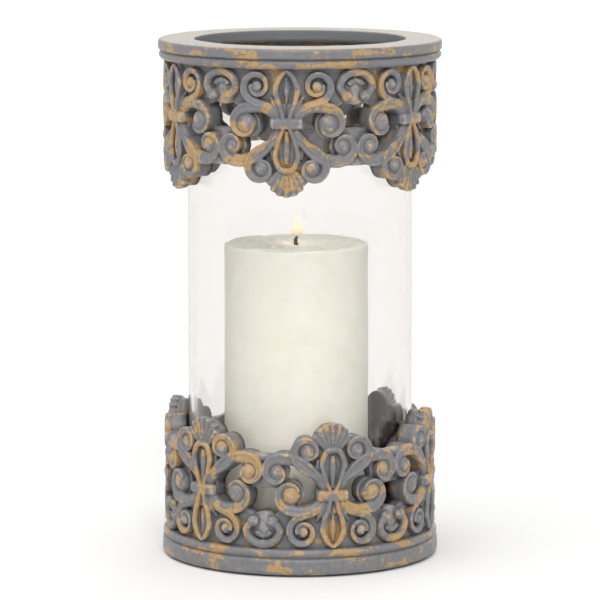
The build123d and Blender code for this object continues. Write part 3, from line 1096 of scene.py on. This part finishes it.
@dataclass
class Tray:
    """The base casting's turned part: floor, channel for the glass, bead and foot band."""

    span: Span
    inside: float
    floor: float
    glass_foot: float
    bead: float = 2.3
    foot_round: float = 2.2
    foot_width: float = 20.0
    plate: float = 7.0

    def build(self, material: bpy.types.Material) -> None:
        """Turn the tray and dress it.

        Args:
            material: Its material.
        """
        outer, low, top = self.span.radius, self.span.low, self.span.high
        channel = self.inside - 5.0
        foot_inner = outer - self.foot_round - self.foot_width
        profile = line((0, self.floor), (channel - 1, self.floor), 12)
        profile += arc((channel - 1, self.floor - 1), 1.0, 90, 0)
        profile += line((channel, self.floor - 1.2), (channel, self.glass_foot), 3)
        profile += line((channel, self.glass_foot), (self.inside, self.glass_foot), 3)
        profile += line((self.inside, self.glass_foot), (self.inside, top), 4)
        profile += line((self.inside, top), (outer - 2.6, top), 5)
        profile += arc((outer - 2.6, top - self.bead), self.bead, 90, -48, 12)
        profile += [(outer - 1.5, top - 4.6)]
        profile += arc((outer - 1.9, top - 6.7), 1.9, 75, 0)
        profile += line((outer, top - 6.9), (outer, low + self.foot_round), 4)
        profile += arc((outer - self.foot_round, low + self.foot_round), self.foot_round, 0, -90, 8)
        profile += line((outer - self.foot_round - 0.2, low), (foot_inner, low), 6)
        profile += line((foot_inner, low), (foot_inner, self.floor - self.plate), 3)
        profile += line((foot_inner, self.floor - self.plate), (0, self.floor - self.plate), 10)
        profile.append((0, self.floor - self.plate))
        piece = turned(profile, "tray_casting", 256, closed=False)
        wobble(piece, 0.00012, 0.009, 5.0)
        mark_worn(piece, 8)
        dress(piece, material, "base", ["base_tray"])


@dataclass
class CollarRing:
    """The collar casting's turned part: top plate with its mouth, socket, and two bands."""

    span: Span
    inside: float
    mouth: float
    plate: float
    seam_aside: float = 5.7
    seam_height: float = 0.35

    def build(self, material: bpy.types.Material) -> None:
        """Turn the ring and dress it.

        Args:
            material: Its material.
        """
        outer, low, top = self.span.radius, self.span.low, self.span.high
        under = top - self.plate
        profile = line((self.mouth, under), (self.mouth, top - 0.8), 4)
        profile += arc((self.mouth + 0.8, top - 0.8), 0.8, 180, 90, 4)
        profile += line((self.mouth + 1.2, top), (outer - 1.8, top), 10)
        profile += arc((outer - 1.8, top - 1.8), 1.8, 90, 0, 8)
        profile += line((outer, top - 2.0), (outer, top - 4.4), 3)
        profile += arc((outer - 0.9, top - 4.5), 0.9, 0, -70, 4)
        profile += [(outer - 1.5, top - 5.8)]
        profile += arc((outer - 2.5, top - 8.1), 2.1, 62, -62, 12)
        profile += [(outer - 1.9, low + 0.1), (outer - 2.4, low)]
        profile += line((outer - 3.0, low), (self.inside, low), 5)
        profile += line((self.inside, low), (self.inside, under), 3)
        profile += line((self.inside, under), (self.mouth, under), 3)
        piece = turned(profile, "collar_casting", 256, closed=True)
        for vertex in piece.data.vertices:
            along = math.hypot(vertex.co.x, vertex.co.y) / MM
            if vertex.co.y > 0 and along < self.mouth + 0.3:
                if abs(vertex.co.x / MM - self.seam_aside) < 0.8:
                    vertex.co.xy *= (along - self.seam_height) / along
        wobble(piece, 0.00012, 0.009, 9.0)
        for vertex in piece.data.vertices:
            vertex.co.z = min(vertex.co.z, top * MM)
        mark_worn(piece, 8)
        dress(piece, material, "collar", ["collar_ring"])


@dataclass
class Chimney:
    """Glass tube with fire-polished rims."""

    span: Span
    wall: float = 2.8
    rim: float = 1.1

    def build(self, material: bpy.types.Material) -> None:
        """Turn the tube and dress it.

        Args:
            material: Its material.
        """
        outer, low, high = self.span.radius, self.span.low, self.span.high
        inner, rim = outer - self.wall, self.rim
        profile = line((outer, low + rim), (outer, high - rim), 24)
        profile += arc((outer - rim, high - rim), rim, 0, 90, 5)
        profile += arc((inner + rim, high - rim), rim, 90, 180, 5)
        profile += line((inner, high - rim - 0.2), (inner, low + rim), 24)
        profile += arc((inner + rim, low + rim), rim, 180, 270, 5)
        profile += arc((outer - rim, low + rim), rim, 270, 360, 5)[:-1]
        piece = turned(profile, "chimney_glass", 256, closed=True)
        dress(piece, material, "chimney", ["glass_chimney"])


@dataclass
class Candle:
    """Pillar candle, its wick and its flame."""

    span: Span
    wick_top: float
    wick_radius: float = 1.1
    bend: float = 1.6
    edge_width: float = 1.5
    pool_depth: float = 0.8
    flame_height: float = 13.0
    flame_radius: float = 3.6
    flame_below: float = 1.5

    def build(self, wax: bpy.types.Material, cotton: bpy.types.Material,
              flame: bpy.types.Material) -> None:
        """Build the candle's three pieces.

        Args:
            wax: Material of the pillar.
            cotton: Material of the wick.
            flame: Material of the flame.
        """
        self.pillar(wax)
        self.wick(cotton)
        self.burning(flame)

    def pillar(self, material: bpy.types.Material) -> None:
        """Turn the pillar, then make its melted top lumpy and its side slightly uneven.

        Args:
            material: Its material.
        """
        outer, low, top = self.span.radius, self.span.low, self.span.high
        pool = top - self.pool_depth
        shoulder = outer - 0.2
        profile = [(0.0, low)] + line((0.5, low), (outer - 1.0, low), 14)
        profile += arc((outer - 1.0, low + 1.0), 1.0, -90, 0)
        profile += line((outer, low + 1.3), (shoulder, top - 1.5), 70)
        profile += arc((shoulder - 1.3, top - 1.3), 1.3, 0, 90, 6)
        profile += arc((outer - self.edge_width - 0.4, top - 0.9), 0.9, 90, 150, 4)
        profile += line((outer - self.edge_width - 1.6, pool + 0.5), (4.5, pool), 34)
        profile += [(4.5, pool - 0.1), (3.0, pool - 0.5), (1.8, pool - 0.8), (0.8, pool - 0.9),
                    (0.0, pool - 0.9)]
        piece = turned(profile, "pillar_wax", 192, closed=False)
        for vertex in piece.data.vertices:
            place = vertex.co / MM
            reach = math.hypot(place.x, place.y)
            around = math.atan2(place.y, place.x)
            streak = Vector((reach / 5.5, 2.2 * math.cos(around), 2.2 * math.sin(around)))
            lump = 0.9 * noise.noise(Vector((place.x, place.y, 0.0)) / 6.5) + 0.7 * noise.noise(
                Vector((place.x, place.y, 9.0)) / 2.6) + 0.9 * noise.noise(streak)
            if place.z > top - 4.0:
                share = min(1.0, (place.z - top + 4.0) / 3.0)
                inside = min(1.0, max(0.0, (outer - reach) / 2.5))
                vertex.co.z = min(top * MM, vertex.co.z + share * (1.9 * inside + 0.12) * lump * MM
                                  - 0.15 * share * MM)
            elif reach > 10:
                swell = 0.18 * noise.noise(place / 26.0) - 0.1
                vertex.co.x *= 1 + swell / outer
                vertex.co.y *= 1 + swell / outer
        piece.data.transform(Matrix.Translation((self.span.aside, 0, 0)))
        dress(piece, material, "candle", ["candle_wax"])

    def wick(self, material: bpy.types.Material) -> None:
        """Extrude the wick up the candle and over in a slight hook.

        Args:
            material: Its material.
        """
        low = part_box("candle_wick")[0].z / MM
        burn = self.span.high - self.pool_depth - 0.4
        mesh = bmesh.new()
        ring = bmesh.ops.create_circle(mesh, cap_ends=False, radius=self.wick_radius * MM,
                                       segments=16)["verts"]
        edges = list({edge for vertex in ring for edge in vertex.link_edges})
        bmesh.ops.translate(mesh, vec=(0, 0, low * MM), verts=ring)
        bmesh.ops.contextual_create(mesh, geom=edges)
        heights = [low + (burn - low) * i / 10 for i in range(11)]
        heights += [burn + (self.wick_top - burn) * i / 12 for i in range(1, 13)]
        before = Vector((0, 0, low))
        size = 1.0
        for height in heights[1:]:
            share = max(0.0, (height - burn) / (self.wick_top - burn))
            sway = self.bend * (0.8 * share * share - 0.35 * math.sin(math.pi * share))
            at = Vector((sway, 0.0, height))
            taper = 1.0 - 0.55 * share * share
            grown = bmesh.ops.extrude_edge_only(mesh, edges=edges)["geom"]
            ring = [item for item in grown if isinstance(item, bmesh.types.BMVert)]
            edges = [item for item in grown if isinstance(item, bmesh.types.BMEdge)]
            bmesh.ops.translate(mesh, vec=(at - before) * MM, verts=ring)
            bmesh.ops.scale(mesh, vec=(taper / size,) * 2 + (1.0,), verts=ring,
                            space=Matrix.Translation(-at * MM))
            before, size = at, taper
        bmesh.ops.contextual_create(mesh, geom=edges)
        bmesh.ops.recalc_face_normals(mesh, faces=mesh.faces)
        bmesh.ops.translate(mesh, vec=(self.span.aside, 0, 0), verts=mesh.verts)
        dress(put(mesh, "braided_wick"), material, "candle", ["candle_wick"])

    def burning(self, material: bpy.types.Material) -> None:
        """Turn the flame's teardrop and lean its tip.

        Args:
            material: Its material.
        """
        low = self.wick_top - self.flame_below
        profile = []
        for i in range(33):
            t = i / 32
            radius = self.flame_radius * math.sin(math.pi * t ** 0.74) ** 0.8 * (1 - 0.22 * t)
            profile.append((max(0.0, radius), low + self.flame_height * t))
        profile[0] = (0.0, low)
        profile[-1] = (0.0, low + self.flame_height)
        piece = turned(profile, "flame", 48, closed=False)
        for vertex in piece.data.vertices:
            share = (vertex.co.z / MM - low) / self.flame_height
            vertex.co.x += (self.bend * 0.3 + 0.4 * share * share) * MM + self.span.aside
        dress(piece, material, "candle")


# ---------------------------------------------------------------- studio

def studio(centre_height: float) -> None:
    """Make the floor, the soft lamps, the bright surroundings and the camera.

    Args:
        centre_height: Middle height of the holder in metres, which sets how high the lamps are placed.
    """
    scene = bpy.context.scene
    scene.view_settings.view_transform = "Standard"
    mesh = bmesh.new()
    bmesh.ops.create_grid(mesh, x_segments=1, y_segments=1, size=40.0)
    floor = put(mesh, "floor", smooth=False)
    material, tree, output = new_material("pale floor")
    pale = add(tree, "ShaderNodeBsdfPrincipled", {"Base Color": linear("#F7F7F6"), "Roughness": 0.9})
    tree.links.new(pale.outputs[0], output.inputs["Surface"])
    floor.data.materials.append(material)

    lamps = (("key", 6.0, 38.0, 0.92, 20.0), ("top", -30.0, 70.0, 1.1, 60.0),
             ("rim", 160.0, 30.0, 0.35, 40.0))
    for name, azimuth, elevation, strength, spread in lamps:
        lamp = bpy.data.lights.new(name, "SUN")
        lamp.energy = strength
        lamp.angle = math.radians(spread)
        holder = bpy.data.objects.new(name, lamp)
        holder.rotation_euler = (math.radians(90 - elevation), 0.0, math.radians(azimuth))
        holder.location = (0.0, 0.0, 2 * centre_height + 1.0)
        scene.collection.objects.link(holder)

    world = bpy.data.worlds.new("studio")
    scene.world = world
    world.use_nodes = True
    tree = world.node_tree
    tree.nodes.clear()
    rays = add(tree, "ShaderNodeLightPath")
    strength = add(tree, "ShaderNodeMapRange", {"To Min": 1.0, "To Max": 0.58},
                   {"Value": (rays, "Is Diffuse Ray")})
    sky = add(tree, "ShaderNodeBackground", {"Color": (1.0, 1.0, 1.0, 1.0)},
              {"Strength": (strength, 0)})
    end = add(tree, "ShaderNodeOutputWorld")
    tree.links.new(sky.outputs[0], end.inputs["Surface"])

    camera = bpy.data.cameras.new("camera")
    camera.lens = 238.9
    camera.sensor_width = 36.0
    camera.clip_end = 200.0
    stand = bpy.data.objects.new("camera", camera)
    stand.location = (0.0, -2.0795, 0.43487)
    stand.rotation_euler = (math.radians(90 - 8.23), 0.0, 0.0)
    scene.collection.objects.link(stand)
    scene.camera = stand


def main() -> None:
    """Build every piece, in order from the floor up."""
    logging.basicConfig(level=logging.INFO, format="%(name)s %(message)s")
    tray, ring = Span.of("base_tray"), Span.of("collar_ring")
    glass, wax = Span.of("glass_chimney"), Span.of("candle_wax")
    wick_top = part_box("candle_wick")[1].z / MM
    mouth = next(m["dims"]["r_mm"] for m in frame["record"]["mounts"] if m["name"] == "mouth")
    inside = glass.radius + GLASS_PLAY
    bodies = frame["record"]["behaviour"]["bodies"]
    base_nodes = [n for n in bodies["base"] if "fleur" in n]
    collar_nodes = [n for n in bodies["collar"] if "fleur" in n]

    studio(ring.high / 2 * MM)
    carved = PaintedPolystone(Wear.CARVED, inside_radius=inside * MM).build()
    banded = PaintedPolystone(Wear.BANDED, inside_radius=mouth * MM, inside_fade=0.0009,
                              inside_shade_and_coat="#808185", patch_mm=(17.0, 17.0, 6.5), wear_share=0.03,
                              proud_share=0.0, bare_from=0.685, top_height=ring.high * MM).build()
    ornament = Ornament(inside=inside, relief=inside + CROWN_DEPTH, height=Ornament.unit_height,
                        half_wedge=math.pi / len(base_nodes))
    template = ornament.carve()
    mark_worn(template)
    Crown(template, base_nodes, "base", tray.high, False).build(carved, turn_of_node(base_nodes[0]))
    Crown(template, collar_nodes, "collar", ring.low, True).build(carved, turn_of_node(collar_nodes[0]))
    bpy.data.objects.remove(template)
    Tray(tray, inside, wax.low, glass.low).build(banded)
    CollarRing(ring, inside, mouth, ring.high - glass.high).build(banded)
    Chimney(glass).build(ClearGlass().build())
    candle = Candle(wax, wick_top)
    flame_low = (wick_top - candle.flame_below) * MM
    candle.build(ParaffinWax().build(), BurntCotton(burnt_above=(wax.high - 2.6) * MM).build(),
                 CandleFlame(flame_low, flame_low + candle.flame_height * MM).build())
    felt, tin = FeltPadding().build(), Tinplate().build()
    for name, node in frame["nodes"].items():
        if name.startswith("felt_pad"):
            node.data.materials.clear()
            node.data.materials.append(felt)
    clip = frame["nodes"]["wick_clip"]
    clip.data.materials.clear()
    clip.data.materials.append(tin)


if __name__ == "__main__":
    main()
